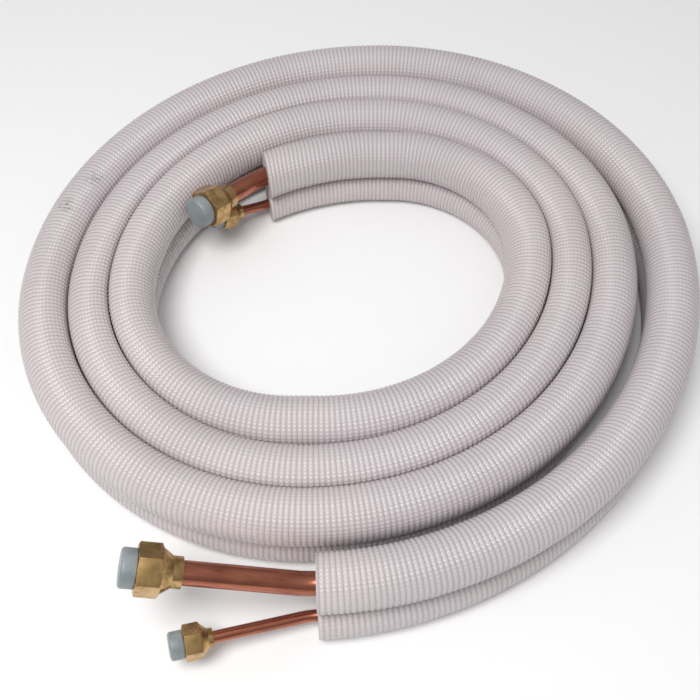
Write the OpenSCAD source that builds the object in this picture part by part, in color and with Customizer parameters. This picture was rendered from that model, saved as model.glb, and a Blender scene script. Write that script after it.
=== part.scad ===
// Insulated twin copper tube coil: a 1/2 in and a 1/4 in tube, each in its own foam sleeve, the two sleeves
// bonded along one seam and wound flat, with a flare nut and a plastic plug on each of the four tube ends.
// The route is a chain of tangent bends. Travel angles are in degrees, clockwise from +Y seen from above.

/* [Tubes] */
// Outside diameter of the large tube
large_tube_d = 12.7; // [9.5:0.1:13]
// Outside diameter of the small tube
small_tube_d = 6.35; // [5:0.05:8]
// Wall of both tubes
tube_wall = 0.8; // [0.5:0.1:1.2]

/* [Sleeves] */
// Foam wall of both sleeves
foam_wall = 10; // [8.5:0.25:10.5]
// Room between a tube's sized end and its sleeve, on the radius
tube_fit = 0.06; // [0.04:0.02:0.3]
// Width of the flat weld between the two sleeves
weld_width = 12; // [4:0.5:14]
// Width of the strip on which the small sleeve lies on the floor
rest_width = 8; // [4:0.5:12]

/* [Winding] */
// Mean radius of the first full bend
first_radius = 108; // [90:1:130]
// Spacing of the two innermost turns
inner_pitch = 35; // [33:0.5:38]
// Spacing of the turns outside them, where the foam is pressed
outer_pitch = 26.5; // [25:0.5:34]
// How much tighter and wider the bends are by turns, which makes the coil oval
oval = 19; // [10:1:24]
// Extra radius that each of the loose last bends adds
slack = 3; // [0:0.5:6]
// How far straight runs draw the first turn out to the right
right_run = 10; // [0:0.5:11]
// How far straight runs draw the first turn out to the left
left_run = 6.5; // [0:0.5:7]
// Number of quarter bends
quarter_bends = 14; // [12:1:15]
// Number of loose bends at the outer end
loose_bends = 4; // [1:1:4]
// Radius of the short bend at the inner end
lead_radius = 150; // [120:1:178]
// Sweep of the short bend at the inner end
lead_sweep = 31; // [26:1:36]
// Sweep of the last bend
last_sweep = 88; // [82:1:90]
// Room between neighbouring turns
turn_gap = 0.6; // [0.4:0.1:1.5]

/* [Outer end] */
// Extra radius of the small tube's last bend, which lets it drift out from under the large one
drift = 7; // [0:1:14]
// Upward bend of the large tube's bare end
outer_large_lift = 17; // [4:1:20]
// Bare length of the large tube from the sleeve to its nut
outer_large_bare = 70; // [50:1:100]
// Outward and upward bend of the small tube's bare end
outer_small_splay = 14; // [4:1:16]
// Bare length of the small tube from the sleeve to its nut
outer_small_bare = 57; // [40:1:90]

/* [Inner end] */
// Least inward and upward bend of the large tube's bare end
inner_large_splay = 20; // [10:1:26]
// Least upward bend of the small tube's bare end
inner_small_lift = 12; // [4:1:16]
// Room between the nuts and plugs and the turn around them
nut_room = 1; // [0.5:0.25:3]
// Bare length of the large tube from the sleeve to its nut
inner_large_bare = 34; // [28:1:40]
// Bare length of the small tube from the sleeve to its nut
inner_small_bare = 23; // [20:1:30]
// Radius of the bend in every bare end
lift_radius = 40; // [30:1:45]

/* [Large nut and plug] */
// Width across the flats
large_nut_flats = 24; // [22:0.5:24]
// Length of the hexagon
large_hex_length = 12.5; // [10:0.5:15]
// Length of the taper behind the hexagon
large_taper_length = 5.5; // [4:0.5:7]
// Diameter of the collar
large_collar_d = 16.5; // [16:0.25:18]
// Length of the collar
large_collar_length = 5; // [3:0.5:7]
// Diameter of the bore that holds the thread
large_thread_d = 17.4; // [17.2:0.1:18]
// Diameter of the flare on the tube
large_flare_d = 16.6; // [15.5:0.1:16.8]
// Diameter of the plug's head
large_plug_d = 20.5; // [19:0.25:22]
// How far the plug's head stands out of the nut
large_plug_length = 8; // [5:0.5:10]

/* [Small nut and plug] */
// Width across the flats
small_nut_flats = 17; // [15.5:0.25:18]
// Length of the hexagon
small_hex_length = 9.5; // [8:0.5:12]
// Length of the taper behind the hexagon
small_taper_length = 3.5; // [2.5:0.5:5]
// Diameter of the collar
small_collar_d = 10.5; // [9.5:0.25:12]
// Length of the collar
small_collar_length = 2.5; // [2:0.5:4]
// Diameter of the bore that holds the thread
small_thread_d = 9.9; // [9.7:0.1:10.5]
// Diameter of the flare on the tube
small_flare_d = 9.2; // [8.6:0.1:9.4]
// Diameter of the plug's head
small_plug_d = 15; // [13.5:0.25:16]
// How far the plug's head stands out of the nut
small_plug_length = 7.5; // [5:0.5:10]

/* [Fits] */
// Room between a nut and its tube and flare, on the radius
seat_fit = 0.12; // [0.08:0.02:0.2]
// Room between a plug's stem and its nut, on the radius
plug_fit = 0.1; // [0.05:0.05:0.3]
// How much the sized bare ends are over the wound tube, on the radius
end_sizing = 0.1; // [0.08:0.01:0.12]
// How far a sized end reaches back into its sleeve
end_reach = 0.5; // [0.4:0.1:0.8]
// Chamfer of the hexagons
nut_chamfer = 1.5; // [0.5:0.25:2.5]
// Chamfer of the plugs' heads
plug_chamfer = 1; // [0.5:0.25:1.5]

/* [Hidden] */
$fn = 96;

copper = "#c9744c";
foam = "#e8e2e1";
brass = "#a8893f";
plastic = "#dfe6ea";

quarter = 90;
bends_per_turn = 4;
presses_per_bend = 3;
last_bend = quarter_bends - 1;

// Section: the small sleeve lies on the floor, and the large one is welded on top of it
large_sleeve_r = large_tube_d / 2 + foam_wall;
small_sleeve_r = small_tube_d / 2 + foam_wall;
rest_drop = sqrt(pow(small_sleeve_r, 2) - pow(rest_width / 2, 2));
small_weld_rise = sqrt(pow(small_sleeve_r, 2) - pow(weld_width / 2, 2));
large_weld_drop = sqrt(pow(large_sleeve_r, 2) - pow(weld_width / 2, 2));
small_z = rest_drop;
large_z = small_z + small_weld_rise + large_weld_drop;

// Directions at a travel angle
function outward(angle) = [sin(angle), cos(angle)];
function along(angle) = [cos(angle), -sin(angle)];

// Rounds to an eighth of a millimetre, which keeps neighbouring bends exactly tangent
function to_eighth(value) = round(8 * value) / 8;

// Radius of a bend: each quarter bend adds a quarter of the pitch, tight and wide bends take turns, and the
// last bends are loose. Bend -1 is the short one at the inner end.
function growth(bend) =
    (min(bend, bends_per_turn) * inner_pitch + max(0, bend - bends_per_turn) * outer_pitch) / bends_per_turn;
function looseness(bend) = slack * max(0, bend - last_bend + loose_bends);
function bend_radius(bend) =
    to_eighth(bend < 0 ? lead_radius
              : first_radius + growth(bend) + (bend % 2 == 0 ? -oval : oval) + looseness(bend));

// Straight run before a bend: the first turn is drawn out at its top, at its bottom and where the next one starts
function run(bend) =
    bend == 0 ? to_eighth(right_run)
    : bend == bends_per_turn / 2 ? to_eighth(right_run) + to_eighth(left_run)
    : bend == bends_per_turn ? to_eighth(left_run) : 0;

// Travel angles where a bend starts and ends
function bend_start(bend) = bend < 0 ? -lead_sweep : quarter * bend;
function bend_end(bend) = bend == last_bend ? quarter * bend + last_sweep : quarter * (bend + 1);

// Neighbouring bends are tangent, so each centre lies on the normal at the joint, moved on by the straight run
function centre_step(bend) =
    (bend_radius(bend - 1) - bend_radius(bend)) * outward(quarter * bend) + run(bend) * along(quarter * bend);
function raw_centre(bend) =
    bend < 0 ? -centre_step(0) : bend == 0 ? [0, 0] : raw_centre(bend - 1) + centre_step(bend);
function raw_point(bend, angle) = raw_centre(bend) + bend_radius(bend) * outward(angle);

// Pressed flats: half the spacing of a stretch and the one a turn further out, where they come closest
function lane(bend, angle) =
    (raw_centre(bend + bends_per_turn) - raw_centre(bend)) * outward(angle)
    + bend_radius(bend + bends_per_turn) - bend_radius(bend);
function press(bend, start, end) =
    min([for (angle = [start, (start + end) / 2, end]) lane(bend, angle)]) / 2 - turn_gap / 2;

// The small tube's last bend is wider, and ends at the plane where the large sleeve ends
small_last_radius = bend_radius(last_bend) + to_eighth(drift);
raw_small_last_centre = raw_centre(last_bend) - to_eighth(drift) * outward(quarter * last_bend);
raw_large_end = raw_point(last_bend, bend_end(last_bend));
small_last_end = bend_end(last_bend)
    + asin((raw_large_end - raw_small_last_centre) * along(bend_end(last_bend)) / small_last_radius);
raw_small_end = raw_small_last_centre + small_last_radius * outward(small_last_end);

// Lengths of the nuts, from the collar's end to the seat of the flare and to the mouth
large_seat = large_collar_length + large_taper_length;
small_seat = small_collar_length + small_taper_length;
large_nut_length = large_seat + large_hex_length;
small_nut_length = small_seat + small_hex_length;

// Bend of a bare end: the length of its arc, and the straight rest to a hundredth of a millimetre
function arc_length(lift) = lift_radius * lift * PI / 180;
function straight_rest(lift, bare) = round(100 * (bare - arc_length(lift))) / 100;

// Roll of a splayed end about its own direction, which turns its bend from upward to mostly sideways
splay_roll = -60;

// Bends of the inner ends: from its least bend each tube bends on until its nut and plug stand clear of the turn
// around them. A place is its distance from that turn's centre and its height.
inner_heading = 180 - lead_sweep;
turn_around = bends_per_turn - 1;
raw_inner_end = raw_point(-1, -lead_sweep);
function fitting_place(lift, roll, rest, height) =
    let (forth = lift_radius * sin(lift) + rest * cos(lift),
         aside = lift_radius * (1 - cos(lift)) + rest * sin(lift),
         flat = raw_inner_end + forth * along(inner_heading) - aside * sin(roll) * outward(inner_heading))
    [norm(flat - raw_centre(turn_around)), height + aside * cos(roll)];
function room_to_turn(place) =
    min(norm([bend_radius(turn_around), large_z] - place) - large_sleeve_r,
        norm([bend_radius(turn_around), small_z] - place) - small_sleeve_r);
function fitting_room(lift, roll, bare, height, seat, length, flats, plug_d, plug_length) =
    let (rest = straight_rest(lift, bare))
    min(room_to_turn(fitting_place(lift, roll, rest + seat, height)) - flats / cos(30) / 2,
        room_to_turn(fitting_place(lift, roll, rest + length, height)) - flats / cos(30) / 2,
        room_to_turn(fitting_place(lift, roll, rest + length + plug_length, height)) - plug_d / 2);
function large_room(lift) =
    fitting_room(lift, splay_roll, inner_large_bare, large_z, large_seat, large_nut_length,
                 large_nut_flats, large_plug_d, large_plug_length);
function small_room(lift, roll) =
    fitting_room(lift, roll, inner_small_bare, small_z, small_seat, small_nut_length,
                 small_nut_flats, small_plug_d, small_plug_length);
function large_clear(lift) =
    large_room(lift) >= nut_room || arc_length(lift + 1) > inner_large_bare ? lift : large_clear(lift + 1);
function small_clear(lift, roll) =
    small_room(lift, roll) >= nut_room || arc_length(lift + 1) > inner_small_bare ? lift
    : small_clear(lift + 1, roll);
inner_large_bend = large_clear(inner_large_splay);
inner_small_roll = small_room(inner_small_lift, 0) >= nut_room ? 0 : splay_roll;
inner_small_bend = small_clear(inner_small_lift, inner_small_roll);

// How far the outer small plug reaches past the sleeve, along and across the sleeve's direction
tip_rest = straight_rest(outer_small_splay, outer_small_bare)
    + small_nut_length + small_plug_length - plug_chamfer;
tip_along = lift_radius * sin(outer_small_splay) + tip_rest * cos(outer_small_splay);
tip_across = (lift_radius * (1 - cos(outer_small_splay)) + tip_rest * sin(outer_small_splay)) * -sin(splay_roll);
raw_tip = raw_small_end + tip_along * along(small_last_end) + tip_across * outward(small_last_end);
tip_slope = cos(outer_small_splay) * along(small_last_end).y
    - sin(outer_small_splay) * sin(splay_roll) * outward(small_last_end).y;
tip_low = raw_tip.y - small_plug_d / 2 * sqrt(1 - pow(tip_slope, 2));

// The origin is under the middle of the whole coil
raw_joints = [for (bend = [0 : last_bend]) raw_point(bend, quarter * bend)];
box_low = [min([for (p = raw_joints) p.x]) - large_sleeve_r, min(tip_low, raw_small_end.y - small_sleeve_r)];
box_high = [max([for (p = raw_joints) p.x]), max([for (p = raw_joints) p.y])] + [1, 1] * large_sleeve_r;
middle = [to_eighth((box_low.x + box_high.x) / 2), to_eighth((box_low.y + box_high.y) / 2)];

function centre(bend) = raw_centre(bend) - middle;
inner_end = raw_inner_end - middle;
run_bends = [for (bend = [0 : bends_per_turn]) if (run(bend) > 0) bend];
large_end = raw_large_end - middle;
small_end = raw_small_end - middle;

// Stretches of the route, each [bend, start, end]: shares of the bends, with a cut where the inner end's
// neighbour starts
turn = bends_per_turn * quarter;
turn_on = turn - lead_sweep;
press_step = quarter / presses_per_bend;
function cuts(start, end) = [
    start,
    for (angle = [press_step * (floor(start / press_step) + 1) : press_step : end - 1]) angle,
    end
];
stretches = [
    for (bend = [-1 : last_bend])
        let (angles = cuts(bend_start(bend), bend_end(bend)))
            for (part = [1 : len(angles) - 1])
                let (start = angles[part - 1], end = angles[part])
                    each start < turn_on && turn_on < end
                        ? [[bend, start, turn_on], [bend, turn_on, end]] : [[bend, start, end]]
];

// Flats of a stretch, as distances from the axis: past the sleeve where there is no neighbour
function inner_flat(stretch, free) =
    stretch[1] < turn_on ? free
    : min(free, press(stretch[0] - bends_per_turn, stretch[1] - turn, stretch[2] - turn));
function outer_flat(stretch, free) =
    stretch[0] + bends_per_turn > last_bend ? free : min(free, press(stretch[0], stretch[1], stretch[2]));

// A straight run is pressed as the stretch after it is
function run_stretch(bend) = [bend, quarter * bend, quarter * bend + press_step];

// One bend of a section, turned about its own centre
module turned(centre_point, radius, start, end, height) {
    translate([centre_point.x, centre_point.y, height])
        rotate_extrude(start = quarter - end, angle = end - start)
            translate([radius, 0])
                children();
}

// The straight run of a section before a bend
module drawn_out(bend, height) {
    start = raw_point(bend - 1, quarter * bend) - middle;
    translate([start.x, start.y, height])
        rotate([0, 0, -quarter * bend])
            rotate([quarter, 0, quarter])
                linear_extrude(run(bend))
                    children();
}

module tube_section(d, sizing = 0) {
    difference() {
        circle(d = d + 2 * sizing);
        circle(d = d - 2 * tube_wall - 2 * sizing);
    }
}

// A sleeve's round section, cut flat at the weld, at the floor and where a neighbour presses
module sleeve_section(r, tube_d, low, high, inner, outer) {
    difference() {
        intersection() {
            circle(r = r);
            translate([-inner, -low])
                square([inner + outer, low + high]);
        }
        circle(d = tube_d + 2 * (end_sizing + tube_fit));
    }
}

module large_sleeve_section(inner, outer) {
    sleeve_section(large_sleeve_r, large_tube_d, large_weld_drop, 2 * large_sleeve_r, inner, outer);
}

module small_sleeve_section(inner, outer) {
    sleeve_section(small_sleeve_r, small_tube_d, rest_drop, small_weld_rise, inner, outer);
}

// Puts a piece that points along +X at the end of a sleeve, pointing along a travel angle. The roll turns it about
// that direction, by steps that leave a hexagon as it was.
module at_end(point, angle, height, roll = 0) {
    translate([point.x, point.y, height])
        rotate([0, 0, -angle])
            rotate([roll, 0, 0])
                children();
}

// Puts a piece that points along +X past an upward bend and the straight rest of a bare end
module past_lift(lift, bare) {
    translate([lift_radius * sin(lift), 0, lift_radius * (1 - cos(lift))])
        rotate([0, -lift, 0])
            translate([straight_rest(lift, bare), 0, 0])
                children();
}

// A bare end, seen from its nut: the bend out of the sleeve, a straight rest and the flare at the nut's seat
module bare_end(d, flare_d, lift, bare, seat) {
    rest = straight_rest(lift, bare);
    reach = end_reach / lift_radius * 180 / PI;
    translate([-rest, 0, lift_radius])
        rotate([quarter, 0, 0])
            rotate_extrude(start = -quarter - lift - reach, angle = lift + reach)
                translate([lift_radius, 0])
                    tube_section(d, end_sizing);
    rotate([0, quarter, 0]) {
        translate([0, 0, -rest])
            linear_extrude(rest + seat)
                tube_section(d, end_sizing);
        translate([0, 0, seat])
            flare(d, flare_d);
    }
}

// The flared lip of a tube, at 45 degrees
module flare(d, flare_d) {
    rise = (flare_d - d) / 2;
    inside = d / 2 - tube_wall - end_sizing;
    rotate_extrude()
        polygon([[inside, 0], [d / 2 + end_sizing, 0], [flare_d / 2 + end_sizing, rise], [inside + rise, rise]]);
}

// A flare nut along +X: collar, taper and chamfered hexagon, bored for the tube, its flare and the thread
module nut(tube_d, flare_d, flats, collar_d, collar_length, seat, length, thread_d) {
    corners = flats / cos(30);
    bore_d = tube_d + 2 * (end_sizing + seat_fit);
    rise = (flare_d - tube_d) / 2;
    rotate([0, quarter, 0])
        difference() {
            union() {
                rotate_extrude()
                    polygon([[0, 0], [collar_d / 2, 0], [collar_d / 2, collar_length],
                             [flats / 2, seat], [0, seat]]);
                intersection() {
                    translate([0, 0, seat])
                        cylinder(d = corners, h = length - seat, $fn = 6);
                    translate([0, 0, seat])
                        rotate_extrude()
                            polygon([[0, 0], [corners / 2 - nut_chamfer, 0], [corners / 2, nut_chamfer / 2],
                                     [corners / 2, length - seat - nut_chamfer / 2],
                                     [corners / 2 - nut_chamfer, length - seat], [0, length - seat]]);
                }
            }
            rotate_extrude()
                polygon([[0, -1], [bore_d / 2, -1], [bore_d / 2, seat], [bore_d / 2 + rise, seat + rise],
                         [thread_d / 2, seat + rise], [thread_d / 2, length + 1], [0, length + 1]]);
        }
}

// A plug along +X: a stem in the nut's thread down to the flare, and a head with a chamfered rim
module plug(tube_d, flare_d, thread_d, head_d, head_length, seat, length) {
    rise = (flare_d - tube_d) / 2;
    stem_start = seat + rise + seat_fit;
    rotate([0, quarter, 0])
        rotate_extrude()
            polygon([[0, stem_start], [thread_d / 2 - plug_fit, stem_start], [thread_d / 2 - plug_fit, length],
                     [head_d / 2, length], [head_d / 2, length + head_length - plug_chamfer],
                     [head_d / 2 - plug_chamfer, length + head_length], [0, length + head_length]]);
}

module large_nut() {
    color(brass)
        nut(large_tube_d, large_flare_d, large_nut_flats, large_collar_d, large_collar_length,
            large_seat, large_nut_length, large_thread_d);
}

module small_nut() {
    color(brass)
        nut(small_tube_d, small_flare_d, small_nut_flats, small_collar_d, small_collar_length,
            small_seat, small_nut_length, small_thread_d);
}

module large_plug() {
    color(plastic)
        plug(large_tube_d, large_flare_d, large_thread_d, large_plug_d, large_plug_length,
             large_seat, large_nut_length);
}

module small_plug() {
    color(plastic)
        plug(small_tube_d, small_flare_d, small_thread_d, small_plug_d, small_plug_length,
             small_seat, small_nut_length);
}

// The four places where a nut and its plug sit
module on_outer_large() {
    at_end(large_end, bend_end(last_bend), large_z)
        past_lift(outer_large_lift, outer_large_bare)
            children();
}

module on_outer_small() {
    at_end(small_end, small_last_end, small_z, splay_roll)
        past_lift(outer_small_splay, outer_small_bare)
            children();
}

module on_inner_large() {
    at_end(inner_end, inner_heading, large_z, splay_roll)
        past_lift(inner_large_bend, inner_large_bare)
            children();
}

module on_inner_small() {
    at_end(inner_end, inner_heading, small_z, inner_small_roll)
        past_lift(inner_small_bend, inner_small_bare)
            children();
}

module large_tube() {
    color(copper)
        union() {
            for (bend = [-1 : last_bend])
                turned(centre(bend), bend_radius(bend), bend_start(bend), bend_end(bend), large_z)
                    tube_section(large_tube_d);
            for (bend = run_bends)
                drawn_out(bend, large_z)
                    tube_section(large_tube_d);
            on_outer_large()
                bare_end(large_tube_d, large_flare_d, outer_large_lift, outer_large_bare, large_seat);
            on_inner_large()
                bare_end(large_tube_d, large_flare_d, inner_large_bend, inner_large_bare, large_seat);
        }
}

module small_tube() {
    color(copper)
        union() {
            for (bend = [-1 : last_bend - 1])
                turned(centre(bend), bend_radius(bend), bend_start(bend), bend_end(bend), small_z)
                    tube_section(small_tube_d);
            for (bend = run_bends)
                drawn_out(bend, small_z)
                    tube_section(small_tube_d);
            turned(raw_small_last_centre - middle, small_last_radius, bend_start(last_bend), small_last_end, small_z)
                tube_section(small_tube_d);
            on_outer_small()
                bare_end(small_tube_d, small_flare_d, outer_small_splay, outer_small_bare, small_seat);
            on_inner_small()
                bare_end(small_tube_d, small_flare_d, inner_small_bend, inner_small_bare, small_seat);
        }
}

module large_sleeve() {
    free = 2 * large_sleeve_r;
    color(foam)
        union() {
            for (stretch = stretches)
                turned(centre(stretch[0]), bend_radius(stretch[0]), stretch[1], stretch[2], large_z)
                    large_sleeve_section(inner_flat(stretch, free), outer_flat(stretch, free));
            for (bend = run_bends)
                let (stretch = run_stretch(bend))
                    drawn_out(bend, large_z)
                        large_sleeve_section(inner_flat(stretch, free), outer_flat(stretch, free));
        }
}

module small_sleeve() {
    free = 2 * small_sleeve_r;
    color(foam)
        union() {
            for (stretch = stretches)
                if (stretch[0] < last_bend)
                    turned(centre(stretch[0]), bend_radius(stretch[0]), stretch[1], stretch[2], small_z)
                        small_sleeve_section(inner_flat(stretch, free), outer_flat(stretch, free));
            for (bend = run_bends)
                let (stretch = run_stretch(bend))
                    drawn_out(bend, small_z)
                        small_sleeve_section(inner_flat(stretch, free), outer_flat(stretch, free));
            turned(raw_small_last_centre - middle, small_last_radius, bend_start(last_bend), small_last_end, small_z)
                small_sleeve_section(free, free);
        }
}

module outer_large_nut() { on_outer_large() large_nut(); }
module outer_small_nut() { on_outer_small() small_nut(); }
module inner_large_nut() { on_inner_large() large_nut(); }
module inner_small_nut() { on_inner_small() small_nut(); }
module outer_large_plug() { on_outer_large() large_plug(); }
module outer_small_plug() { on_outer_small() small_plug(); }
module inner_large_plug() { on_inner_large() large_plug(); }
module inner_small_plug() { on_inner_small() small_plug(); }

large_tube();
small_tube();
large_sleeve();
small_sleeve();
outer_large_nut();
outer_small_nut();
inner_large_nut();
inner_small_nut();
outer_large_plug();
outer_small_plug();
inner_large_plug();
inner_small_plug();
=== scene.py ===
"""Looks of an insulated twin copper tube coil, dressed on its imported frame.

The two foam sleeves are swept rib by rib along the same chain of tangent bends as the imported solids. The
copper tubes run through them and out at both ends. The flare nuts and plugs are softened copies of their
solids. Lengths are in metres and angles in degrees. Travel angles run clockwise from +Y, seen from above.
"""

import logging
import math
from dataclasses import dataclass, field
from enum import Enum

import bpy
import numpy as np
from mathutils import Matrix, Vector


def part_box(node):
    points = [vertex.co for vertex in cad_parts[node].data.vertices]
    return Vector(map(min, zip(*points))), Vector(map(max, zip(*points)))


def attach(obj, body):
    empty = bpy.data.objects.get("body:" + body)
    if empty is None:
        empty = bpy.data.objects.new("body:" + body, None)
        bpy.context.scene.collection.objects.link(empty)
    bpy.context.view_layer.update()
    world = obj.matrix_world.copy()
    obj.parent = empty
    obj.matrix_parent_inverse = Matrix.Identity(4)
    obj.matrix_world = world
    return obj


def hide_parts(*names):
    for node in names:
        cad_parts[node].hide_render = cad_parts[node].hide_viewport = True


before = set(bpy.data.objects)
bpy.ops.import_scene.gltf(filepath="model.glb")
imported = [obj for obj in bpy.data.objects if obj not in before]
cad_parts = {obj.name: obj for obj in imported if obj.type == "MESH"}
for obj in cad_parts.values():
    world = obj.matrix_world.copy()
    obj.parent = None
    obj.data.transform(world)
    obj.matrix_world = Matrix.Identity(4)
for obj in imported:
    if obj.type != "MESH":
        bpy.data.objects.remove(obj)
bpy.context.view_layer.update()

LOG = logging.getLogger("tube_coil")
MM = 0.001
QUARTER = 90.0
TURN = 360.0
BODY = "root"
UP = np.array([0.0, 0.0, 1.0])
SKIN_SLOT = 0
CUT_SLOT = 1

Colour = tuple[float, float, float, float]
WHITE: Colour = (1.0, 1.0, 1.0, 1.0)


class Line(Enum):
    """The two lines of the twin: the large one lies on top of the small one."""

    LARGE = "large"
    SMALL = "small"


class End(Enum):
    """The two ends of the coil."""

    INNER = "inner"
    OUTER = "outer"


def outward(angle: float | np.ndarray) -> np.ndarray:
    """Unit vector out of the coil at a travel angle, flat on the floor plane."""
    turn = np.radians(angle)
    return np.stack([np.sin(turn), np.cos(turn)], -1)


def along(angle: float | np.ndarray) -> np.ndarray:
    """Unit vector of travel at a travel angle, flat on the floor plane."""
    turn = np.radians(angle)
    return np.stack([np.cos(turn), -np.sin(turn)], -1)


def flat_depth(radius: float, width: float) -> float:
    """Distance from the middle of a round to a flat cut on it.

    Args:
        radius: Radius of the round.
        width: Width of the flat.

    Returns:
        The distance, along the flat's normal.
    """
    return math.sqrt(radius**2 - (width / 2) ** 2)


def smooth_step(value: np.ndarray) -> np.ndarray:
    """Eases a value from 0 to 1, held at both ends."""
    held = np.clip(value, 0.0, 1.0)
    return held * held * (3.0 - 2.0 * held)


@dataclass(frozen=True)
class Bend:
    """One bend of the route, about a fixed centre, with the straight run before it."""

    centre: np.ndarray
    radius: float
    start: float
    end: float
    run: float = 0.0

    @property
    def length(self) -> float:
        """Length of the run and the bend along their middle line."""
        return self.run + self.radius * math.radians(self.end - self.start)


@dataclass(frozen=True)
class Winding:
    """Route of the twin: a flat spiral of tangent quarter bends, with straight runs in its first turn."""

    first_radius: float = 108 * MM
    inner_pitch: float = 35 * MM
    outer_pitch: float = 26.5 * MM
    oval: float = 19 * MM
    slack: float = 3 * MM
    right_run: float = 10 * MM
    left_run: float = 6.5 * MM
    quarter_bends: int = 14
    loose_bends: int = 4
    bends_per_turn: int = 4
    lead_radius: float = 150 * MM
    lead_sweep: float = 31.0
    last_sweep: float = 88.0
    drift: float = 7 * MM
    turn_gap: float = 0.6 * MM
    grid: float = 0.125 * MM

    @property
    def last_bend(self) -> int:
        """Number of the last bend."""
        return self.quarter_bends - 1

    def bend_radius(self, bend: int) -> float:
        """Radius of a bend.

        Args:
            bend: Number of the bend, with -1 for the short one at the inner end.

        Returns:
            The radius of its middle line.
        """
        if bend < 0:
            return self.lead_radius
        inner = min(bend, self.bends_per_turn) * self.inner_pitch
        outer = max(0, bend - self.bends_per_turn) * self.outer_pitch
        loose = self.slack * max(0, bend - self.last_bend + self.loose_bends)
        oval = -self.oval if bend % 2 == 0 else self.oval
        radius = self.first_radius + (inner + outer) / self.bends_per_turn + oval + loose
        return round(radius / self.grid) * self.grid

    def run(self, bend: int) -> float:
        """Straight run before a bend.

        Args:
            bend: Number of the bend.

        Returns:
            Its length: at the top and the bottom of the first turn, and at the start of the second.
        """
        runs = {0: self.right_run, self.bends_per_turn // 2: self.right_run + self.left_run,
                self.bends_per_turn: self.left_run}
        return runs.get(bend, 0.0)

    def centre_step(self, bend: int) -> np.ndarray:
        """Step from the centre of the bend before to the centre of a bend.

        Args:
            bend: Number of the bend.

        Returns:
            The step on the floor plane. Neighbours are tangent, so it follows the normal at their joint, and
            the run.
        """
        shrink = self.bend_radius(bend - 1) - self.bend_radius(bend)
        return shrink * outward(QUARTER * bend) + self.run(bend) * along(QUARTER * bend)

    def raw_centre(self, bend: int) -> np.ndarray:
        """Centre of a bend, measured from the centre of bend 0.

        Args:
            bend: Number of the bend.

        Returns:
            The centre on the floor plane.
        """
        if bend < 0:
            return -self.centre_step(0)
        return sum((self.centre_step(number) for number in range(1, bend + 1)), np.zeros(2))

    def middle(self, sleeve_radius: float) -> np.ndarray:
        """Offset of the frame's origin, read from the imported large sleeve.

        Args:
            sleeve_radius: Outside radius of the large sleeve.

        Returns:
            The origin, measured from the centre of bend 0.
        """
        joints = np.array([self.raw_centre(n) + self.bend_radius(n) * outward(QUARTER * n)
                           for n in range(self.quarter_bends)])
        high = np.array(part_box("large_sleeve")[1][:2])
        return joints.max(axis=0) + sleeve_radius - high

    def bends(self, line: Line, middle: np.ndarray) -> list[Bend]:
        """Bends of one line, from the inner end to the outer.

        Args:
            line: Which of the two lines.
            middle: Offset of the frame's origin.

        Returns:
            The bends in order. The small line's last bend is wider, and ends level with the large sleeve.
        """
        chain = []
        for number in range(-1, self.quarter_bends):
            start = -self.lead_sweep if number < 0 else QUARTER * number
            end = QUARTER * number + self.last_sweep if number == self.last_bend else QUARTER * (number + 1)
            centre = self.raw_centre(number) - middle
            chain.append(Bend(centre, self.bend_radius(number), start, end, self.run(number)))
        if line is Line.SMALL:
            last = chain.pop()
            centre = last.centre - self.drift * outward(last.start)
            radius = last.radius + self.drift
            sleeve_end = last.centre + last.radius * outward(last.end)
            ahead = float((sleeve_end - centre) @ along(last.end))
            chain.append(Bend(centre, radius, last.start, last.end + math.degrees(math.asin(ahead / radius))))
        return chain


@dataclass
class Spine:
    """Middle line of a strand: stations with their place, travel angle and distance from the inner end."""

    place: np.ndarray
    angle: np.ndarray
    distance: np.ndarray
    fade: float = 12.0

    @classmethod
    def sample(cls, bends: list[Bend], step: float) -> "Spine":
        """Lays stations at an even spacing along a chain of bends.

        Args:
            bends: The chain, from the inner end.
            step: Wanted spacing, trimmed so that the last station lies on the end.

        Returns:
            The spine, flat on the floor plane.
        """
        ends = np.cumsum([bend.length for bend in bends])
        starts = np.concatenate([[0.0], ends[:-1]])
        distance = np.linspace(0.0, ends[-1], max(2, round(ends[-1] / step) + 1))
        number = np.clip(np.searchsorted(ends, distance, side="left"), 0, len(bends) - 1)
        radius = np.array([bend.radius for bend in bends])[number]
        first = np.array([bend.start for bend in bends])[number]
        centre = np.array([bend.centre for bend in bends])[number]
        past_run = distance - starts[number] - np.array([bend.run for bend in bends])[number]
        angle = first + np.degrees(np.maximum(past_run, 0.0) / radius)
        before = np.minimum(past_run, 0.0)[:, None] * along(first)
        return cls(centre + radius[:, None] * outward(angle) + before, angle, distance)

    def room(self, turns: int, gap: float) -> np.ndarray:
        """Half the room to the neighbouring turn at each station.

        Args:
            turns: 1 for the neighbour outside, -1 for the neighbour inside.
            gap: Clear gap between two turns.

        Returns:
            Distance from the middle line to the pressed face, endless where there is no neighbour.
        """
        wanted = self.angle + TURN * turns
        near = np.stack([np.interp(wanted, self.angle, self.place[:, axis]) for axis in range(2)], -1)
        across = ((near - self.place) * outward(self.angle)).sum(axis=1) * turns
        beyond = np.maximum(self.angle[0] - wanted, wanted - self.angle[-1])
        paired = beyond <= 0
        across = np.interp(self.angle, self.angle[paired], across[paired])
        return across / 2 - gap / 2 + smooth_step(beyond / self.fade) * across


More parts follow.
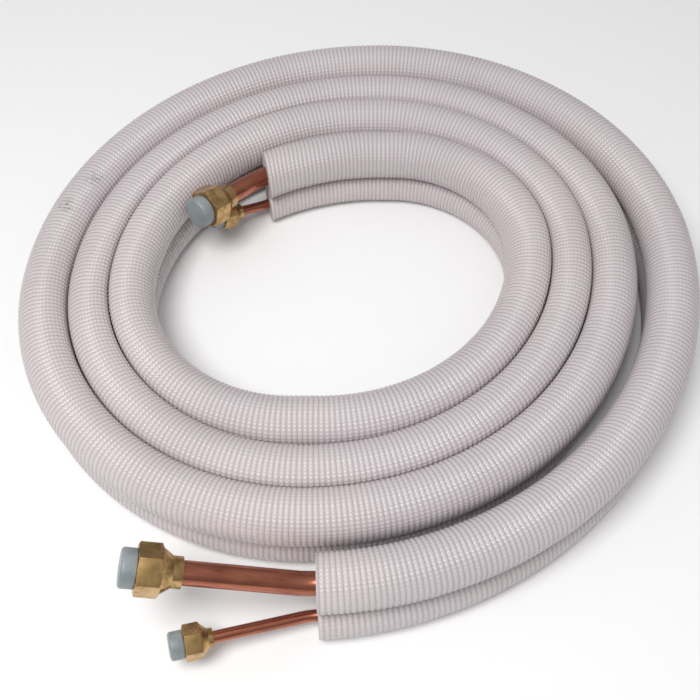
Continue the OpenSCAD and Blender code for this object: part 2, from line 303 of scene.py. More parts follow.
@dataclass
class MeshData:
    """Points and quads of a swept piece, with one UV pair for each corner."""

    points: list[np.ndarray] = field(default_factory=list)
    quads: list[np.ndarray] = field(default_factory=list)
    corners: list[np.ndarray] = field(default_factory=list)
    slots: list[np.ndarray] = field(default_factory=list)
    count: int = 0

    def add_grid(self, rings: np.ndarray, along_uv: np.ndarray, around_uv: np.ndarray, slot: int = 0,
                 inward: bool = False) -> np.ndarray:
        """Adds rings of points joined by quads, closed around.

        Args:
            rings: Points, as rings by sides by three.
            along_uv: One U for each ring.
            around_uv: One V for each side, and one more for the closing side.
            slot: Material slot of the faces.
            inward: Whether the faces look at the middle line, as in a bore.

        Returns:
            The point numbers, as rings by sides.
        """
        numbers = np.arange(rings.shape[0] * rings.shape[1]).reshape(rings.shape[:2]) + self.count
        self.points.append(rings.reshape(-1, 3))
        self.count += numbers.size
        self.join(numbers, along_uv, around_uv, slot, inward)
        return numbers

    def join(self, numbers: np.ndarray, along_uv: np.ndarray, around_uv: np.ndarray, slot: int = 0,
             inward: bool = False) -> None:
        """Joins rings of existing points by quads.

        Args:
            numbers: Point numbers, as rings by sides.
            along_uv: One U for each ring.
            around_uv: One V for each side, and one more for the closing side.
            slot: Material slot of the faces.
            inward: Whether the faces look at the middle line, as in a bore.
        """
        following = np.roll(numbers, -1, axis=1)
        quads = np.stack([numbers[:-1], following[:-1], following[1:], numbers[1:]], -1).reshape(-1, 4)
        uv = np.stack(np.meshgrid(along_uv, around_uv, indexing="ij"), -1)
        corners = np.stack([uv[:-1, :-1], uv[:-1, 1:], uv[1:, 1:], uv[1:, :-1]], 2).reshape(-1, 4, 2)
        order = slice(None, None, -1 if inward else 1)
        self.quads.append(quads[:, order])
        self.corners.append(corners[:, order])
        self.slots.append(np.full(len(quads), slot))

    def close_ends(self, outside: np.ndarray, inside: np.ndarray, around_uv: np.ndarray,
                   slot: int = 0) -> None:
        """Closes both ends of a hollow piece, between its outside and its bore.

        Args:
            outside: Point numbers of the outside, as rings by sides.
            inside: Point numbers of the bore, as rings by sides.
            around_uv: One V for each side, and one more for the closing side.
            slot: Material slot of the faces.
        """
        self.join(np.stack([inside[0], outside[0]]), np.zeros(2), around_uv, slot)
        self.join(np.stack([outside[-1], inside[-1]]), np.zeros(2), around_uv, slot)

    def to_object(self, name: str, uv_name: str, smooth_angle: float) -> bpy.types.Object:
        """Makes the piece, with its faces outwards.

        Args:
            name: Name of the piece.
            uv_name: Name of its UV map.
            smooth_angle: Edges sharper than this stay sharp.

        Returns:
            The new object, at the origin.
        """
        points = np.concatenate(self.points)
        quads = np.concatenate(self.quads)
        corners = np.concatenate(self.corners)
        first, second, third, fourth = (points[quads[:, k]] for k in range(4))
        normal_area = np.cross(second, third) + np.cross(third, fourth)
        if np.einsum("ij,ij->", first, normal_area) < 0:
            quads, corners = quads[:, ::-1], corners[:, ::-1]
        mesh = bpy.data.meshes.new(name)
        mesh.vertices.add(len(points))
        mesh.vertices.foreach_set("co", points.astype(np.float32).ravel())
        mesh.loops.add(quads.size)
        mesh.loops.foreach_set("vertex_index", quads.astype(np.int32).ravel())
        mesh.polygons.add(len(quads))
        mesh.polygons.foreach_set("loop_start", np.arange(0, quads.size, 4, dtype=np.int32))
        mesh.polygons.foreach_set("material_index", np.concatenate(self.slots).astype(np.int32))
        mesh.uv_layers.new(name=uv_name).uv.foreach_set("vector", corners.astype(np.float32).ravel())
        mesh.update(calc_edges=True)
        mesh.validate()
        piece = add_object(name, mesh)
        pick(piece)
        bpy.ops.object.shade_smooth_by_angle(angle=math.radians(smooth_angle))
        return piece


def add_object(name: str, data: bpy.types.ID) -> bpy.types.Object:
    """Adds an object to the scene.

    Args:
        name: Its name.
        data: Its mesh, lamp or camera.

    Returns:
        The new object, at the origin.
    """
    made = bpy.data.objects.new(name, data)
    bpy.context.scene.collection.objects.link(made)
    return made


def pick(piece: bpy.types.Object) -> None:
    """Selects one object alone and makes it active."""
    bpy.ops.object.select_all(action="DESELECT")
    piece.select_set(True)
    bpy.context.view_layer.objects.active = piece


def seat(piece: bpy.types.Object, node: str) -> None:
    """Rides a piece on the part's body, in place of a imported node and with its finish.

    Args:
        piece: The dressed piece.
        node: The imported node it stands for.
    """
    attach(piece, BODY)
    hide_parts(node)
    LOG.info("%s: %d faces, stands for %s", piece.name, len(piece.data.polygons), node)


@dataclass(frozen=True)
class Grain:
    """A noise, and the span of it that is used."""

    scale: float
    detail: float = 3.0
    roughness: float = 0.55
    low: float = 0.0
    high: float = 1.0


class Shader:
    """A small builder of node materials."""

    def __init__(self, name: str) -> None:
        """Starts a material with its surface shader."""
        self.material = bpy.data.materials.new(name)
        self.material.use_nodes = True
        self.tree = self.material.node_tree
        self.surface = self.tree.nodes["Principled BSDF"]

    def node(self, kind: str, **settings: object) -> bpy.types.Node:
        """Adds a node.

        Args:
            kind: Blender's name of the node type.
            settings: Properties to set on it.

        Returns:
            The new node.
        """
        made = self.tree.nodes.new(kind)
        for name, value in settings.items():
            setattr(made, name, value)
        return made

    def feed(self, socket: bpy.types.NodeSocket, value: object) -> None:
        """Links a socket to another, or sets its value."""
        if isinstance(value, bpy.types.NodeSocket):
            self.tree.links.new(value, socket)
        else:
            socket.default_value = value

    def math(self, operation: str, *values: object) -> bpy.types.NodeSocket:
        """Adds a Math node.

        Args:
            operation: Its operation.
            values: Numbers or sockets for its inputs.

        Returns:
            The result.
        """
        made = self.node("ShaderNodeMath", operation=operation)
        for socket, value in zip(made.inputs, values):
            self.feed(socket, value)
        return made.outputs[0]

    def span(self, value: object, low: float, high: float, to_low: float = 0.0, to_high: float = 1.0,
             eased: bool = True) -> bpy.types.NodeSocket:
        """Maps a value from one span to another, held at both ends.

        Args:
            value: The value's socket.
            low: Start of the span.
            high: End of the span.
            to_low: What the start becomes.
            to_high: What the end becomes.
            eased: Whether the change is eased.

        Returns:
            The mapped value.
        """
        kind = "SMOOTHSTEP" if eased else "LINEAR"
        made = self.node("ShaderNodeMapRange", interpolation_type=kind, clamp=True)
        names = ("Value", "From Min", "From Max", "To Min", "To Max")
        for name, number in zip(names, (value, low, high, to_low, to_high)):
            self.feed(made.inputs[name], number)
        return made.outputs["Result"]

    def blend(self, share: object, first: object, second: object) -> bpy.types.NodeSocket:
        """Mixes two colours.

        Args:
            share: Share of the second colour.
            first: First colour.
            second: Second colour.

        Returns:
            The mixed colour.
        """
        made = self.node("ShaderNodeMix", data_type="RGBA")
        for index, value in ((0, share), (6, first), (7, second)):
            self.feed(made.inputs[index], value)
        return made.outputs[2]

    def place(self) -> bpy.types.NodeSocket:
        """Object coordinates."""
        return self.node("ShaderNodeTexCoord").outputs["Object"]

    def unrolled(self, uv_name: str) -> tuple[bpy.types.NodeSocket, bpy.types.NodeSocket]:
        """The piece's own distance along it and around it.

        Args:
            uv_name: Name of the UV map.

        Returns:
            The two coordinates.
        """
        split = self.node("ShaderNodeSeparateXYZ")
        self.feed(split.inputs[0], self.node("ShaderNodeUVMap", uv_map=uv_name).outputs[0])
        return split.outputs[0], split.outputs[1]

    def joined(self, first: object, second: object, third: object) -> bpy.types.NodeSocket:
        """Joins three numbers to a vector."""
        made = self.node("ShaderNodeCombineXYZ")
        for socket, value in zip(made.inputs, (first, second, third)):
            self.feed(socket, value)
        return made.outputs[0]

    def noise(self, vector: bpy.types.NodeSocket, grain: Grain) -> bpy.types.NodeSocket:
        """Adds a noise.

        Args:
            vector: Where it is read.
            grain: Its scale and finer layers.

        Returns:
            The noise, about 0.5.
        """
        made = self.node("ShaderNodeTexNoise")
        self.feed(made.inputs["Vector"], vector)
        for name, value in (("Scale", grain.scale), ("Detail", grain.detail), ("Roughness", grain.roughness)):
            self.feed(made.inputs[name], value)
        return made.outputs[0]

    def grains(self, vector: bpy.types.NodeSocket, grain: Grain, depth: float = 1.0) -> bpy.types.NodeSocket:
        """Adds a noise, with its used span stretched from 0 to a depth.

        Args:
            vector: Where it is read.
            grain: The noise and its span.
            depth: What the end of the span becomes.

        Returns:
            The stretched noise.
        """
        return self.span(self.noise(vector, grain), grain.low, grain.high, 0.0, depth)

    def bump(self, height: bpy.types.NodeSocket, distance: float, strength: float = 1.0) -> None:
        """Gives the surface a relief from a height."""
        made = self.node("ShaderNodeBump")
        self.feed(made.inputs["Height"], height)
        made.inputs["Distance"].default_value = distance
        made.inputs["Strength"].default_value = strength
        self.feed(self.surface.inputs["Normal"], made.outputs[0])

    def set(self, **values: object) -> None:
        """Sets or links the surface's sockets, by names with _ for spaces."""
        for name, value in values.items():
            self.feed(self.surface.inputs[name.replace("_", " ")], value)


@dataclass(frozen=True)
class FoamSkin:
    """Embossed skin of the foam: satin ribs with beads along them, a little soiled, with painted shade
    darkening the grooves between the ribs.
    """

    name: str = "embossed foam skin"
    uv_name: str = "ribs"
    skin: Colour = (0.69, 0.62, 0.625, 1.0)
    tint: Colour = (0.655, 0.595, 0.615, 1.0)
    # Dark colour for the painted shade in the grooves, also used for the random cloudy mottle.
    shade: Colour = (0.36, 0.315, 0.31, 1.0)
    soil: Colour = (0.10, 0.07, 0.075, 1.0)
    roughness: float = 0.26
    gloss: float = 0.5
    relief: float = 0.6 * MM
    bead_depth: float = 0.42
    # Share of painted shade at the bottom of a groove.
    painted_groove_shade: float = 0.5
    groove_power: float = 1.6
    tint_grain: Grain = Grain(5.0, 2.0, low=0.38, high=0.62)
    cloud_grain: Grain = Grain(14.0, low=0.4, high=0.75)
    cloud_depth: float = 0.12
    speck_grain: Grain = Grain(260.0, 4.0, 0.65, 0.4, 0.6)
    rib_soil: float = 0.3
    smudges: tuple[tuple[float, float, float], ...] = ((-0.180, 0.082, 0.055), (-0.194, 0.057, 0.056))
    smudge_core: float = 1.35 * MM
    smudge_reach: float = 9 * MM

    def material(self) -> bpy.types.Material:
        """Builds the material."""
        shader = Shader(self.name)
        rib_count, bead_count = shader.unrolled(self.uv_name)
        rib, bead = self.half_round(shader, rib_count), self.half_round(shader, bead_count)
        groove = shader.math("POWER", shader.math("SUBTRACT", 1.0, rib), self.groove_power)
        bead_share = shader.math("MULTIPLY_ADD", bead, self.bead_depth, 1.0 - self.bead_depth)
        shader.bump(shader.math("MULTIPLY", rib, bead_share), self.relief)
        tinted = shader.blend(shader.grains(shader.place(), self.tint_grain), self.skin, self.tint)
        cloud = shader.grains(shader.place(), self.cloud_grain, self.cloud_depth)
        # Painted shade: the grooves between the ribs are blended toward the shade colour, on top of a random
        # cloudy mottle.
        groove_shade_and_cloud = shader.math("MULTIPLY_ADD", groove, self.painted_groove_shade, cloud)
        base = shader.blend(groove_shade_and_cloud, tinted, self.shade)
        soiled = shader.blend(self.soiling(shader, groove), base, self.soil)
        shader.set(Base_Color=soiled, Roughness=self.roughness, Specular_IOR_Level=self.gloss)
        return shader.material

    @staticmethod
    def half_round(shader: Shader, count: bpy.types.NodeSocket) -> bpy.types.NodeSocket:
        """A row of half rounds: 0 in the notch at whole counts, 1 on the crest halfway between them."""
        return shader.math("ABSOLUTE", shader.math("SINE", shader.math("MULTIPLY", count, math.pi)))

    def soiling(self, shader: Shader, groove: bpy.types.NodeSocket) -> bpy.types.NodeSocket:
        """Share of soil: rubbed smudges on the outer turn, deepest in the grooves.

        Args:
            shader: The material being built.
            groove: 1 at the bottom of a groove, 0 on a rib.

        Returns:
            The share.
        """
        specks = shader.grains(shader.place(), self.speck_grain)
        held = shader.math("MULTIPLY_ADD", groove, 1.0 - self.rib_soil, self.rib_soil)
        settled = shader.math("MULTIPLY", specks, held)
        share = 0.0
        for smudge in self.smudges:
            distance = shader.node("ShaderNodeVectorMath", operation="DISTANCE")
            shader.feed(distance.inputs[0], shader.place())
            distance.inputs[1].default_value = smudge
            near = shader.span(distance.outputs["Value"], self.smudge_core, self.smudge_reach, 1.0, 0.0)
            share = shader.math("MAXIMUM", share, near)
        return shader.math("MULTIPLY", share, settled)


@dataclass(frozen=True)
class FoamCut:
    """Cut face of the foam: open cells, with painted shade darkening their low parts."""

    name: str = "cut foam"
    foam: Colour = (0.83, 0.78, 0.78, 1.0)
    # Colour of the painted shade in the low parts of the cells.
    painted_pit_shade: Colour = (0.62, 0.57, 0.57, 1.0)
    roughness: float = 0.85
    cell_scale: float = 1300.0
    cell_wall: float = 0.1
    cell_floor: float = 0.6
    cell_depth: float = 0.25 * MM
    cell_strength: float = 0.8

    def material(self) -> bpy.types.Material:
        """Builds the material."""
        shader = Shader(self.name)
        cells = shader.node("ShaderNodeTexVoronoi")
        shader.feed(cells.inputs["Vector"], shader.place())
        cells.inputs["Scale"].default_value = self.cell_scale
        depth = shader.span(cells.outputs["Distance"], self.cell_wall, self.cell_floor)
        # Painted shade: the low parts of the cell relief take the darker colour.
        shader.set(Base_Color=shader.blend(depth, self.foam, self.painted_pit_shade), Roughness=self.roughness)
        shader.bump(shader.math("SUBTRACT", 1.0, depth), self.cell_depth, self.cell_strength)
        return shader.material


@dataclass(frozen=True)
class Copper:
    """Drawn soft copper: long streaks, a few dull patches and a fine draw line."""

    name: str = "drawn copper"
    uv_name: str = "draw"
    bright: Colour = (0.51, 0.188, 0.12, 1.0)
    dull: Colour = (0.185, 0.058, 0.036, 1.0)
    bright_roughness: float = 0.2
    dull_roughness: float = 0.38
    streak_grain: Grain = Grain(5.0, 5.0, 0.7, 0.35, 0.72)
    streak_rate: float = 6.0
    streak_share: float = 0.5
    patch_grain: Grain = Grain(1.4, 4.0, 0.6, 0.38, 0.72)
    patch_rate: float = 40.0
    patch_share: float = 0.5
    line_grain: Grain = Grain(16.0)
    line_depth: float = 0.05 * MM
    line_strength: float = 0.5

    def material(self) -> bpy.types.Material:
        """Builds the material."""
        shader = Shader(self.name)
        distance, around = shader.unrolled(self.uv_name)
        turn = shader.math("MULTIPLY", around, math.tau)
        section = (shader.math("COSINE", turn), shader.math("SINE", turn))
        streak_place = shader.joined(shader.math("MULTIPLY", distance, self.streak_rate), *section)
        patch_place = shader.joined(shader.math("MULTIPLY", distance, self.patch_rate), *section)
        streak = shader.grains(streak_place, self.streak_grain, self.streak_share)
        patch = shader.grains(patch_place, self.patch_grain)
        worn = shader.math("MULTIPLY_ADD", patch, self.patch_share, streak)
        rough = shader.span(worn, 0.0, 1.0, self.bright_roughness, self.dull_roughness, eased=False)
        shader.set(Base_Color=shader.blend(worn, self.bright, self.dull), Metallic=1.0, Roughness=rough)
        shader.bump(shader.noise(streak_place, self.line_grain), self.line_depth, self.line_strength)
        return shader.material


@dataclass(frozen=True)
class Brass:
    """Machined brass, dulled in storage."""

    name: str = "dull machined brass"
    bright: Colour = (0.59, 0.378, 0.167, 1.0)
    dull: Colour = (0.30, 0.191, 0.077, 1.0)
    bright_roughness: float = 0.22
    dull_roughness: float = 0.36
    stain_grain: Grain = Grain(160.0, 5.0, 0.65, 0.36, 0.7)
    mark_grain: Grain = Grain(1500.0, 2.0)
    mark_depth: float = 0.03 * MM
    mark_strength: float = 0.35

    def material(self) -> bpy.types.Material:
        """Builds the material."""
        shader = Shader(self.name)
        stain = shader.grains(shader.place(), self.stain_grain)
        rough = shader.span(stain, 0.0, 1.0, self.bright_roughness, self.dull_roughness, eased=False)
        shader.set(Base_Color=shader.blend(stain, self.bright, self.dull), Metallic=1.0, Roughness=rough)
        shader.bump(shader.noise(shader.place(), self.mark_grain), self.mark_depth, self.mark_strength)
        return shader.material


@dataclass(frozen=True)
class PlugPlastic:
    """Milky moulded plastic of the plugs."""

    name: str = "milky plastic"
    milk: Colour = (0.295, 0.335, 0.345, 1.0)
    deep: Colour = (0.23, 0.263, 0.273, 1.0)
    roughness: float = 0.38
    cloud_grain: Grain = Grain(120.0, low=0.35, high=0.7)
    glow: float = 0.25
    glow_radius: tuple[float, float, float] = (0.6, 0.8, 1.0)
    glow_reach: float = 1.5 * MM
    pit_grain: Grain = Grain(700.0, 2.0)
    pit_depth: float = 0.04 * MM
    pit_strength: float = 0.3

    def material(self) -> bpy.types.Material:
        """Builds the material."""
        shader = Shader(self.name)
        cloud = shader.grains(shader.place(), self.cloud_grain)
        shader.set(Base_Color=shader.blend(cloud, self.milk, self.deep), Roughness=self.roughness,
                   Subsurface_Weight=self.glow, Subsurface_Radius=self.glow_radius,
                   Subsurface_Scale=self.glow_reach)
        shader.bump(shader.noise(shader.place(), self.pit_grain), self.pit_depth, self.pit_strength)
        return shader.material


@dataclass(frozen=True)
class Floor:
    """Plain pale floor."""

    name: str = "pale floor"
    paint: Colour = (0.96, 0.96, 0.96, 1.0)
    roughness: float = 0.9
    gloss: float = 0.1

    def material(self) -> bpy.types.Material:
        """Builds the material."""
        shader = Shader(self.name)
        shader.set(Base_Color=self.paint, Roughness=self.roughness, Specular_IOR_Level=self.gloss)
        return shader.material


@dataclass
class FoamSleeve:
    """One foam sleeve: an embossed skin on a round section, flattened where it meets its neighbours."""

    line: Line
    radius: float
    bore: float
    height: float
    below: float
    above: float
    sides: int
    rib_pitch: float = 3.0 * MM
    bead_pitch: float = 2.4 * MM
    relief: float = 0.5 * MM
    corner: float = 26.0
    bore_stride: int = 16
    lead_turn: float = 17.0
    lead_reach: float = 60 * MM
    least_facing: float = 0.001
    smooth_angle: float = 60.0

    @property
    def spokes(self) -> np.ndarray:
        """Angle of each side round the middle line, in radians."""
        return np.arange(self.sides) * math.tau / self.sides + math.pi / self.sides

    def sections(self, spine: Spine, gap: float) -> np.ndarray:
        """Distance of the skin from the middle line, without its ribs.

        Args:
            spine: Stations of the strand.
            gap: Clear gap between two turns.

        Returns:
            One radius for each station and side.
        """
        across, up = np.cos(self.spokes)[None, :], np.sin(self.spokes)[None, :]
        limits = [np.full((len(spine.angle), self.sides), self.radius)]
        flats = (
            (spine.room(1, gap)[:, None], across),
            (spine.room(-1, gap)[:, None], -across),
            (np.full((1, 1), self.above), up),
            (np.full((1, 1), self.below), -up),
        )
        for reach, direction in flats:
            facing = np.maximum(direction, self.least_facing)
            limits.append(np.broadcast_to(reach / facing, limits[0].shape))
        return (np.stack(limits) ** -self.corner).sum(axis=0) ** (-1.0 / self.corner)

    def build(self, winding: Winding, middle: np.ndarray) -> bpy.types.Object:
        """Sweeps the sleeve, with a crest and a groove for each rib.

        Args:
            winding: The route.
            middle: Offset of the frame's origin.

        Returns:
            The sleeve, closed at both cut ends and open along its bore.
        """
        spine = Spine.sample(winding.bends(self.line, middle), self.rib_pitch / 2)
        stations = len(spine.distance)
        groove = (np.arange(stations) % 2 == 0)[:, None]
        radius = self.sections(spine, winding.turn_gap) - self.relief * groove
        bead_total = round(math.tau * self.radius / self.bead_pitch)
        around = np.linspace(0, bead_total, self.sides + 1)
        ribs = np.arange(stations) / 2
        mesh = MeshData()
        skin = mesh.add_grid(self.ring(spine, radius), ribs, around, SKIN_SLOT)
        chosen = np.unique(np.append(np.arange(0, stations, self.bore_stride), stations - 1))
        hole = Spine(spine.place[chosen], spine.angle[chosen], spine.distance[chosen])
        wall = self.ring(hole, np.full((len(chosen), self.sides), self.bore))
        bore = mesh.add_grid(wall, ribs[chosen], around, CUT_SLOT, inward=True)
        mesh.close_ends(skin, bore, around, CUT_SLOT)
        return mesh.to_object(f"{self.line.value}_foam_sleeve", FoamSkin.uv_name, self.smooth_angle)

    def ring(self, spine: Spine, radius: np.ndarray) -> np.ndarray:
        """Places rings of points across the spine.

        Args:
            spine: Stations of the strand.
            radius: One radius for each station and side.

        Returns:
            The points. Rings near the inner end turn a little, because the foam there springs straight.
        """
        sprung = self.lead_turn * smooth_step(1.0 - spine.distance / self.lead_reach)
        across = outward(spine.angle + sprung)
        flat = spine.place[:, None, :] + (radius * np.cos(self.spokes))[:, :, None] * across[:, None, :]
        rise = self.height + radius * np.sin(self.spokes)
        return np.concatenate([flat, rise[:, :, None]], axis=2)

    def dress(self, piece: bpy.types.Object, skin: bpy.types.Material, cut: bpy.types.Material) -> None:
        """Gives the sleeve its skin and its cut faces, and seats it."""
        piece.data.materials.append(skin)
        piece.data.materials.append(cut)
        seat(piece, f"{self.line.value}_sleeve")


@dataclass(frozen=True)
class BareEnd:
    """Bare end of a tube: a bend out of the sleeve, a straight rest and a flare inside its nut."""

    lift: float
    roll: float
    bare: float
    lift_radius: float = 40 * MM

    def walk(self, start: np.ndarray, heading: float, beyond: float,
             step: float) -> tuple[np.ndarray, np.ndarray]:
        """Stations from the sleeve to the flare's lip.

        Args:
            start: Where the tube leaves its sleeve.
            heading: Travel angle of its direction there.
            beyond: Length inside the nut.
            step: Spacing of the stations.

        Returns:
            Places and directions.
        """
        ahead = np.append(along(heading), 0.0)
        left = np.array([-ahead[1], ahead[0], 0.0])
        roll = math.radians(self.roll)
        aside = math.cos(roll) * UP - math.sin(roll) * left
        arc = self.lift_radius * math.radians(self.lift)
        total = self.bare + beyond
        distance = np.linspace(0.0, total, round(total / step) + 1)[1:]
        turned = np.minimum(distance, arc) / self.lift_radius
        direction = np.cos(turned)[:, None] * ahead + np.sin(turned)[:, None] * aside
        bow = np.sin(turned)[:, None] * ahead + (1 - np.cos(turned))[:, None] * aside
        rest = np.maximum(distance - arc, 0.0)[:, None] * direction
        return start + self.lift_radius * bow + rest, direction


@dataclass
class CopperTube:
    """One copper tube, from the flare in its inner nut to the flare in its outer nut."""

    line: Line
    diameter: float
    height: float
    inner: BareEnd
    outer: BareEnd
    seat_depth: float
    flare_diameter: float
    wall: float = 0.8 * MM
    sizing: float = 0.1 * MM
    sides: int = 40
    wound_step: float = 7 * MM
    bare_step: float = 1.2 * MM
    smooth_angle: float = 50.0

    def build(self, winding: Winding, middle: np.ndarray) -> bpy.types.Object:
        """Sweeps the tube along its bare ends and its wound length.

        Args:
            winding: The route.
            middle: Offset of the frame's origin.

        Returns:
            The tube, closed at its lips.
        """
        bends = winding.bends(self.line, middle)
        spine = Spine.sample(bends, self.wound_step)
        wound = np.column_stack([spine.place, np.full(len(spine.place), self.height)])
        heading = np.column_stack([along(spine.angle), np.zeros(len(spine.angle))])
        rise = (self.flare_diameter - self.diameter) / 2
        beyond = self.seat_depth + rise
        first, first_way = self.inner.walk(wound[0], spine.angle[0] + TURN / 2, beyond, self.bare_step)
        last, last_way = self.outer.walk(wound[-1], spine.angle[-1], beyond, self.bare_step)
        place = np.concatenate([first[::-1], wound, last])
        way = np.concatenate([-first_way[::-1], heading, last_way])
        distance = np.concatenate([[0.0], np.cumsum(np.linalg.norm(np.diff(place, axis=0), axis=1))])
        lip = np.maximum(0.0, rise - np.minimum(distance, distance[-1] - distance))
        at_inner = distance < len(first) * self.bare_step
        at_outer = distance > distance[-1] - len(last) * self.bare_step
        grow = lip + np.where(at_inner | at_outer, self.sizing, 0.0)
        mesh = MeshData()
        around = np.linspace(0.0, 1.0, self.sides + 1)
        outside = mesh.add_grid(self.ring(place, way, self.diameter / 2 + grow), distance, around)
        wall = self.ring(place, way, self.diameter / 2 - self.wall + lip)
        inside = mesh.add_grid(wall, distance, around, inward=True)
        mesh.close_ends(outside, inside, around)
        return mesh.to_object(f"{self.line.value}_copper_tube", Copper.uv_name, self.smooth_angle)

    def ring(self, place: np.ndarray, way: np.ndarray, radius: np.ndarray) -> np.ndarray:
        """Places rings of points across the tube.

        Args:
            place: Stations.
            way: Directions at the stations.
            radius: One radius for each station.

        Returns:
            The points.
        """
        side = np.cross(way, UP)
        side /= np.linalg.norm(side, axis=1, keepdims=True)
        up = np.cross(side, way)
        turn = np.arange(self.sides) * math.tau / self.sides
        cos, sin = np.cos(turn)[None, :, None], np.sin(turn)[None, :, None]
        spoke = cos * side[:, None, :] + sin * up[:, None, :]
        return place[:, None, :] + radius[:, None, None] * spoke

    def dress(self, piece: bpy.types.Object, copper: bpy.types.Material) -> None:
        """Gives the tube its copper, and seats it."""
        piece.data.materials.append(copper)
        seat(piece, f"{self.line.value}_tube")


@dataclass
class Fitting:
    """A nut or a plug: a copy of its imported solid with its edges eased."""

    end: End
    line: Line
    kind: str
    slot: str
    ease: float
    segments: int = 3
    merge: float = 0.002 * MM
    flat_angle: float = 2.0
    edge_angle: float = 24.0

    @property
    def node(self) -> str:
        """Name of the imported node."""
        return f"{self.end.value}_{self.line.value}_{self.kind}"

    def build(self) -> bpy.types.Object:
        """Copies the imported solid, merges its faces and rounds its edges.

        Returns:
            The eased piece.
        """
        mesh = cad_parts[self.node].data.copy()
        mesh.materials.clear()
        piece = add_object(f"{self.node}_eased", mesh)
        pick(piece)
        bpy.ops.mesh.customdata_custom_splitnormals_clear()
        bpy.ops.object.mode_set(mode="EDIT")
        bpy.ops.mesh.select_all(action="SELECT")
        bpy.ops.mesh.remove_doubles(threshold=self.merge)
        bpy.ops.mesh.dissolve_limited(angle_limit=math.radians(self.flat_angle))
        bpy.ops.object.mode_set(mode="OBJECT")
        bevel = piece.modifiers.new("eased edges", "BEVEL")
        bevel.width = self.ease
        bevel.segments = self.segments
        bevel.limit_method = "ANGLE"
        bevel.angle_limit = math.radians(self.edge_angle)
        bpy.ops.object.modifier_apply(modifier=bevel.name)
        bpy.ops.object.shade_smooth_by_angle(angle=math.radians(self.edge_angle))
        return piece

    def dress(self, piece: bpy.types.Object, finish: bpy.types.Material) -> None:
        """Gives the fitting its finish, and seats it."""
        piece.data.materials.append(finish)
        seat(piece, self.node)


@dataclass
class Studio:
    """Floor, soft light and the camera at the photograph's viewing angle."""

    target: tuple[float, float, float] = (-0.00775, -0.05034, 0.03949)
    distance: float = 0.6087
    elevation: float = 53.78
    lens_mm: float = 51.43
    sensor_mm: float = 36.0
    floor_size: float = 12.0
    sky_low: float = 0.2
    sky_high: float = 0.6
    key_power: float = 11.0
    key_size: float = 0.6
    key_place: tuple[float, float, float] = (-0.32, -0.5, 1.2)

    def build(self) -> None:
        """Sets up the whole studio."""
        self.lay_floor()
        self.raise_sky()
        self.hang_lamp()
        self.aim()

    def lay_floor(self) -> None:
        """Lays a plain pale floor under the part."""
        bpy.ops.object.select_all(action="DESELECT")
        bpy.ops.mesh.primitive_plane_add(size=self.floor_size)
        floor = bpy.context.object
        floor.name = "floor"
        floor.data.materials.append(Floor().material())

    def raise_sky(self) -> None:
        """Raises a sky that is brighter overhead, which the camera sees as a white backdrop."""
        world = bpy.data.worlds.new("studio sky")
        bpy.context.scene.world = world
        world.use_nodes = True
        nodes, links = world.node_tree.nodes, world.node_tree.links
        sky, backdrop = nodes["Background"], nodes.new("ShaderNodeBackground")
        for shade in (sky, backdrop):
            shade.inputs["Color"].default_value = WHITE
        place, split = nodes.new("ShaderNodeTexCoord"), nodes.new("ShaderNodeSeparateXYZ")
        grade = nodes.new("ShaderNodeMapRange")
        grade.inputs["To Min"].default_value = self.sky_low
        grade.inputs["To Max"].default_value = self.sky_high
        ray, seen = nodes.new("ShaderNodeLightPath"), nodes.new("ShaderNodeMixShader")
        for source, target in (
            (place.outputs["Generated"], split.inputs[0]),
            (split.outputs["Z"], grade.inputs["Value"]),
            (grade.outputs["Result"], sky.inputs["Strength"]),
            (ray.outputs["Is Camera Ray"], seen.inputs[0]),
            (sky.outputs[0], seen.inputs[1]),
            (backdrop.outputs[0], seen.inputs[2]),
            (seen.outputs[0], nodes["World Output"].inputs["Surface"]),
        ):
            links.new(source, target)

    def hang_lamp(self) -> None:
        """Hangs one broad lamp over the near left."""
        lamp = bpy.data.lights.new("broad lamp", "AREA")
        lamp.shape = "DISK"
        lamp.size = self.key_size
        lamp.energy = self.key_power
        key = add_object("broad lamp", lamp)
        key.location = self.key_place
        self.face(key)

    def aim(self) -> None:
        """Creates the camera and points it at the coil."""
        lens = bpy.data.cameras.new("camera")
        lens.sensor_width = self.sensor_mm
        lens.lens = self.lens_mm
        camera = add_object("camera", lens)
        rise = math.radians(self.elevation)
        camera.location = Vector(self.target) + self.distance * Vector((0.0, -math.cos(rise), math.sin(rise)))
        self.face(camera)
        bpy.context.scene.camera = camera

    def face(self, item: bpy.types.Object) -> None:
        """Turns a lamp or the camera to the coil."""
        item.rotation_euler = (Vector(self.target) - item.location).to_track_quat("-Z", "Y").to_euler()


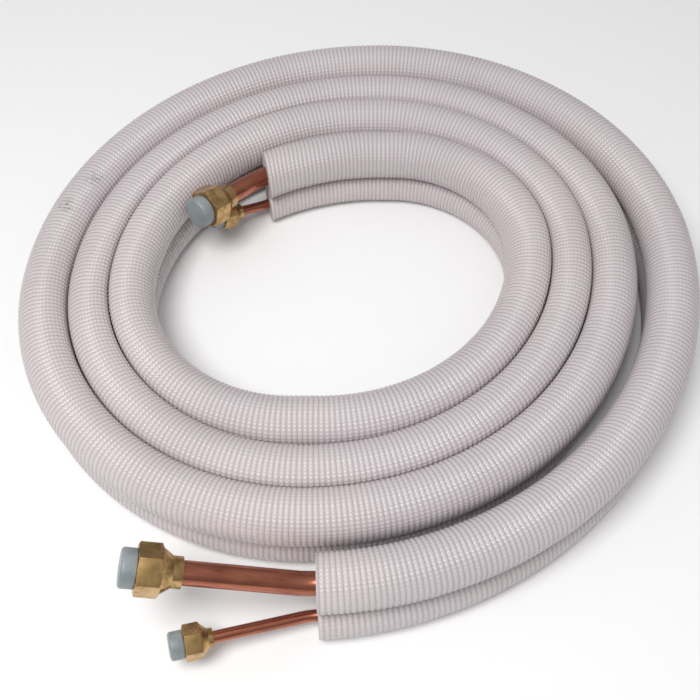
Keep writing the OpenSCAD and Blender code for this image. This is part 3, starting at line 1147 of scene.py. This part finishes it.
@dataclass
class TubeCoil:
    """The whole coil: two tubes in two bonded sleeves, with four nuts and four plugs."""

    winding: Winding = Winding()
    large_tube: float = 12.7 * MM
    small_tube: float = 6.35 * MM
    foam_wall: float = 10 * MM
    tube_room: float = 0.16 * MM
    weld_width: float = 12 * MM
    rest_width: float = 8 * MM
    large_sides: int = 36
    small_sides: int = 32
    large_inner: BareEnd = BareEnd(20.0, -60.0, 34 * MM)
    large_outer: BareEnd = BareEnd(17.0, 0.0, 70 * MM)
    small_inner: BareEnd = BareEnd(12.0, 0.0, 23 * MM)
    small_outer: BareEnd = BareEnd(14.0, -60.0, 57 * MM)
    large_seat: float = 10.5 * MM
    small_seat: float = 6 * MM
    large_flare: float = 16.6 * MM
    small_flare: float = 9.2 * MM
    nut_ease: float = 0.35 * MM
    plug_ease: float = 0.6 * MM

    def build(self) -> None:
        """Builds and dresses every piece."""
        large_r = self.large_tube / 2 + self.foam_wall
        small_r = self.small_tube / 2 + self.foam_wall
        rest = flat_depth(small_r, self.rest_width)
        small_weld = flat_depth(small_r, self.weld_width)
        large_weld = flat_depth(large_r, self.weld_width)
        small_z, large_z = rest, rest + small_weld + large_weld
        middle = self.winding.middle(large_r)
        skin, cut, copper = FoamSkin().material(), FoamCut().material(), Copper().material()
        brass, plastic = Brass().material(), PlugPlastic().material()
        large_room = self.large_tube / 2 + self.tube_room
        small_room = self.small_tube / 2 + self.tube_room
        sleeves = (
            FoamSleeve(Line.LARGE, large_r, large_room, large_z, large_weld, 2 * large_r, self.large_sides),
            FoamSleeve(Line.SMALL, small_r, small_room, small_z, rest, small_weld, self.small_sides),
        )
        for sleeve in sleeves:
            sleeve.dress(sleeve.build(self.winding, middle), skin, cut)
        tubes = (
            CopperTube(Line.LARGE, self.large_tube, large_z, self.large_inner, self.large_outer,
                       self.large_seat, self.large_flare),
            CopperTube(Line.SMALL, self.small_tube, small_z, self.small_inner, self.small_outer,
                       self.small_seat, self.small_flare),
        )
        for tube in tubes:
            tube.dress(tube.build(self.winding, middle), copper)
        for end in End:
            for line in Line:
                nut = Fitting(end, line, "nut", "brass", self.nut_ease)
                nut.dress(nut.build(), brass)
                plug = Fitting(end, line, "plug", "plug", self.plug_ease)
                plug.dress(plug.build(), plastic)


def main() -> None:
    """Builds the coil and its studio, and reports each piece."""
    logging.basicConfig(level=logging.INFO, format="%(name)s: %(message)s")
    TubeCoil().build()
    Studio().build()
    bpy.context.scene.view_settings.view_transform = "Standard"


if __name__ == "__main__":
    main()
